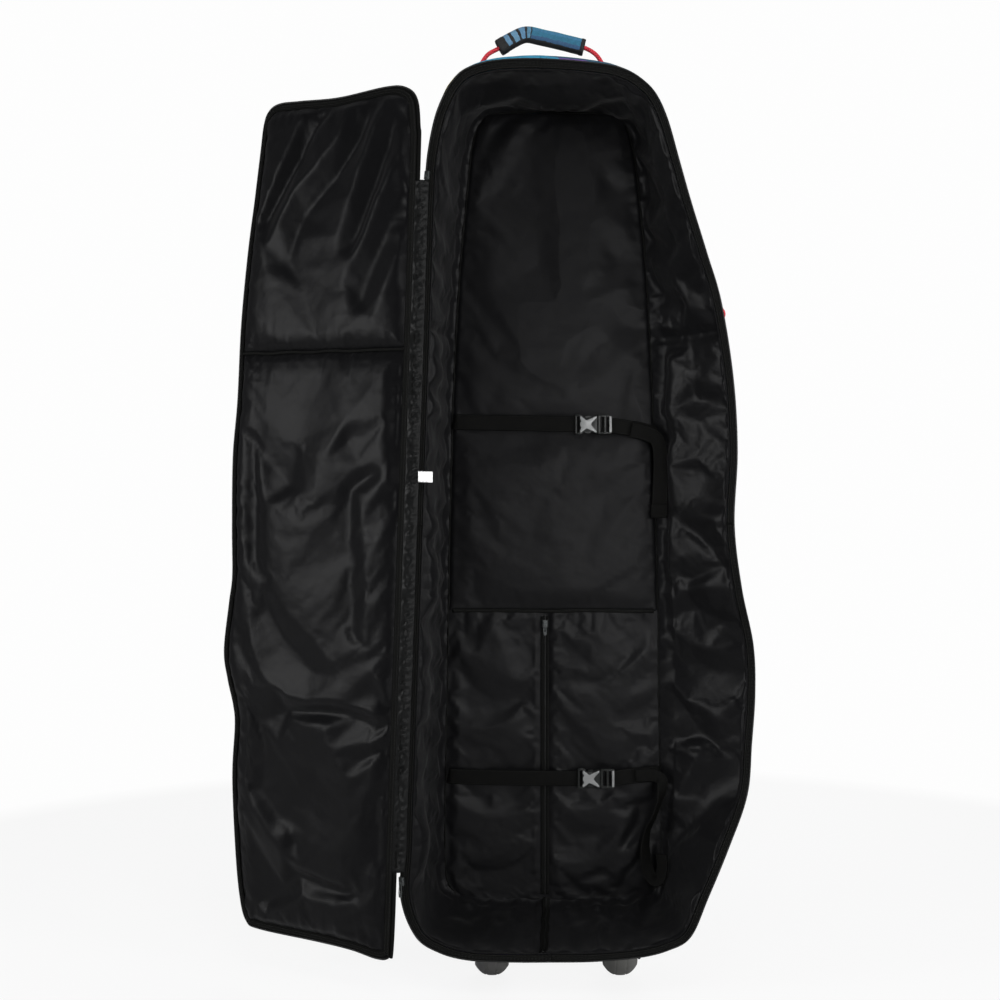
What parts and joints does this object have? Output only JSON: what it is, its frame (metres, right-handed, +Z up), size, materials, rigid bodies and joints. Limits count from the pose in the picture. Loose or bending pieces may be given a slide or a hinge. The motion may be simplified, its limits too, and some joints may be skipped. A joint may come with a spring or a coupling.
{
  "type": "wheeled snowboard bag",
  "caption": "Long padded wheeled bag for a snowboard, unzipped with its side-hinged lid swung open, two buckled board straps inside and a carry handle on top.",
  "frame": {"origin": "the middle of the back panel's outer face", "axes": "+Z runs up the bag's length towards the top handle, +Y is the outward normal of the back panel, so the open side faces -Y, and +X is to the right seen from the open side"},
  "size_m": [1.0182, 0.2293, 1.8089],
  "materials": {
    "printed_fabric": "woven, printed in colour blocks",
    "lining_fabric": "coated satin weave",
    "webbing": "matt woven webbing",
    "zip_tape": "matt herringbone tape",
    "padding_foam": "open foam",
    "stiffener_board": "extruded sheet",
    "moulded_plastic": "fine moulded texture",
    "buckle_plastic": "satin moulded",
    "hub_plastic": "moulded",
    "wheel_rubber": "matt",
    "axle_steel": "brushed",
    "slider_metal": "satin enamel",
    "red_cord": "braided cord",
    "sleeve_fabric": "padded printed wrap",
    "label_fabric": "blank satin label"
  },
  "bodies": {
    "root": {"back_shell": "printed_fabric", "back_stiffener": "stiffener_board", "back_foam": "padding_foam", "back_pad": "lining_fabric", "back_lining_lower": "lining_fabric", "top_wall_shell": "printed_fabric", "top_wall_lining": "lining_fabric", "bottom_wall_shell": "printed_fabric", "bottom_wall_lining": "lining_fabric", "rim_zip_top": "zip_tape", "rim_zip_bottom": "zip_tape", "wheel_base_plate": "moulded_plastic", "wheel_housing_left": "moulded_plastic", "wheel_housing_right": "moulded_plastic", "axle_left": "axle_steel", "axle_right": "axle_steel", "inner_zip_tape": "zip_tape", "strap_upper_left": "webbing", "strap_upper_right": "webbing", "strap_lower_left": "webbing", "strap_lower_right": "webbing", "buckle_female_upper": "buckle_plastic", "buckle_female_lower": "buckle_plastic", "handle_anchor_left": "webbing", "handle_anchor_right": "webbing"},
    "left_wall": {"left_wall_shell": "printed_fabric", "left_wall_lining": "lining_fabric", "rim_zip_left": "zip_tape", "hinge_strip": "zip_tape", "care_label": "label_fabric"},
    "right_wall": {"right_wall_shell": "printed_fabric", "right_wall_lining": "lining_fabric", "rim_zip_right": "zip_tape"},
    "lid": {"lid_shell": "printed_fabric", "lid_foam": "padding_foam", "lid_lining_upper": "lining_fabric", "lid_lining_lower": "lining_fabric", "lid_zip_tape": "zip_tape", "lid_pocket": "printed_fabric"},
    "wheel_left": {"wheel_tyre_left": "wheel_rubber", "wheel_hub_left": "hub_plastic"},
    "wheel_right": {"wheel_tyre_right": "wheel_rubber", "wheel_hub_right": "hub_plastic"},
    "slider_upper": {"zip_slider_upper": "slider_metal"},
    "pull_upper": {"zip_pull_upper": "slider_metal"},
    "slider_lower": {"zip_slider_lower": "slider_metal"},
    "pull_lower": {"zip_pull_lower": "slider_metal"},
    "inner_slider": {"inner_zip_slider": "slider_metal"},
    "inner_pull": {"inner_zip_pull": "slider_metal"},
    "pocket_slider": {"pocket_zip_slider": "slider_metal"},
    "male_upper": {"buckle_male_upper": "buckle_plastic"},
    "latch_upper_a": {"buckle_latch_upper_a": "buckle_plastic"},
    "latch_upper_b": {"buckle_latch_upper_b": "buckle_plastic"},
    "male_lower": {"buckle_male_lower": "buckle_plastic"},
    "latch_lower_a": {"buckle_latch_lower_a": "buckle_plastic"},
    "latch_lower_b": {"buckle_latch_lower_b": "buckle_plastic"},
    "handle": {"handle_cord": "red_cord", "handle_sleeve": "sleeve_fabric"},
    "side_loop_upper": {"side_loop_upper": "red_cord"},
    "side_loop_lower": {"side_loop_lower": "red_cord"}
  },
  "joints": [
    {"name": "lid_hinge", "type": "hinge", "parent": "left_wall", "child": "lid", "pos_m": [-0.285, -0.192, -0.715], "axis": [0.0341, 0, 0.9994], "range_deg": [-16, 195]},
    {"name": "left_wall_fold", "type": "hinge", "parent": "root", "child": "left_wall", "pos_m": [-0.225, -0.004, -0.674], "axis": [0.0292, 0, 0.9996], "range_deg": [-1.4, 16.1]},
    {"name": "right_wall_fold", "type": "hinge", "parent": "root", "child": "right_wall", "pos_m": [0.2235, -0.004, -0.629], "axis": [-0.0211, 0, 0.9998], "range_deg": [-46.1, 3.9]},
    {"name": "wheel_left_spin", "type": "hinge", "parent": "root", "child": "wheel_left", "pos_m": [-0.1185, -0.028, -0.863], "axis": [1, 0, 0], "continuous": true},
    {"name": "wheel_right_spin", "type": "hinge", "parent": "root", "child": "wheel_right", "pos_m": [0.128, -0.028, -0.863], "axis": [1, 0, 0], "continuous": true},
    {"name": "zip_slider_upper_slide", "type": "slide", "parent": "left_wall", "child": "slider_upper", "axis": [0.1014, -0.0015, 0.9948], "range_m": [0, 0.055]},
    {"name": "zip_pull_upper_swing", "type": "hinge", "parent": "slider_upper", "child": "pull_upper", "pos_m": [-0.23825, -0.17886, 0.60179], "axis": [-1, 0, 0], "range_deg": [0, 150]},
    {"name": "zip_slider_lower_slide", "type": "slide", "parent": "left_wall", "child": "slider_lower", "axis": [0.0379, 0.0099, -0.9992], "range_m": [0, 0.025]},
    {"name": "zip_pull_lower_swing", "type": "hinge", "parent": "slider_lower", "child": "pull_lower", "pos_m": [-0.28511, -0.17712, -0.68975], "axis": [-1, 0, 0], "range_deg": [0, 150]},
    {"name": "inner_zip_slide", "type": "slide", "parent": "root", "child": "inner_slider", "axis": [0, 0, -1], "range_m": [0, 0.48]},
    {"name": "inner_pull_swing", "type": "hinge", "parent": "inner_slider", "child": "inner_pull", "pos_m": [-0.0157, -0.0207, -0.228], "axis": [-1, 0, 0], "range_deg": [0, 150]},
    {"name": "pocket_zip_slide", "type": "slide", "parent": "lid", "child": "pocket_slider", "axis": [-0.0341, 0, -0.9994], "range_m": [0, 0.55]},
    {"name": "buckle_upper_release", "type": "slide", "parent": "root", "child": "male_upper", "axis": [1, 0, 0], "range_m": [0, 0.03]},
    {"name": "latch_upper_a_squeeze", "type": "hinge", "parent": "male_upper", "child": "latch_upper_a", "pos_m": [0.085, -0.0261, 0.1658], "axis": [0, -1, 0], "range_deg": [0, 6]},
    {"name": "latch_upper_b_squeeze", "type": "hinge", "parent": "male_upper", "child": "latch_upper_b", "pos_m": [0.085, -0.0261, 0.1422], "axis": [0, 1, 0], "range_deg": [0, 6]},
    {"name": "buckle_lower_release", "type": "slide", "parent": "root", "child": "male_lower", "axis": [1, 0, 0], "range_m": [0, 0.03]},
    {"name": "latch_lower_a_squeeze", "type": "hinge", "parent": "male_lower", "child": "latch_lower_a", "pos_m": [0.09, -0.0291, -0.5182], "axis": [0, -1, 0], "range_deg": [0, 6]},
    {"name": "latch_lower_b_squeeze", "type": "hinge", "parent": "male_lower", "child": "latch_lower_b", "pos_m": [0.09, -0.0291, -0.5418], "axis": [0, 1, 0], "range_deg": [0, 6]},
    {"name": "handle_swing", "type": "hinge", "parent": "root", "child": "handle", "pos_m": [0, -0.09, 0.807], "axis": [1, 0, 0], "range_deg": [-80, 60]},
    {"name": "side_loop_upper_swing", "type": "hinge", "parent": "right_wall", "child": "side_loop_upper", "pos_m": [0.29316, -0.11481, 0.3544], "axis": [-0.1131, -0.0868, 0.9898], "range_deg": [-35, 35]},
    {"name": "side_loop_lower_swing", "type": "hinge", "parent": "right_wall", "child": "side_loop_lower", "pos_m": [0.34238, -0.0931, -0.43468], "axis": [0.042, 0.053, 0.9977], "range_deg": [-35, 35]}
  ],
  "couplings": [
    {"joint": "left_wall_fold", "follows": "lid_hinge", "ratio": 0.0822},
    {"joint": "right_wall_fold", "follows": "lid_hinge", "ratio": -0.2358},
    {"joint": "latch_upper_b_squeeze", "follows": "latch_upper_a_squeeze", "ratio": 1},
    {"joint": "latch_lower_b_squeeze", "follows": "latch_lower_a_squeeze", "ratio": 1}
  ]
}
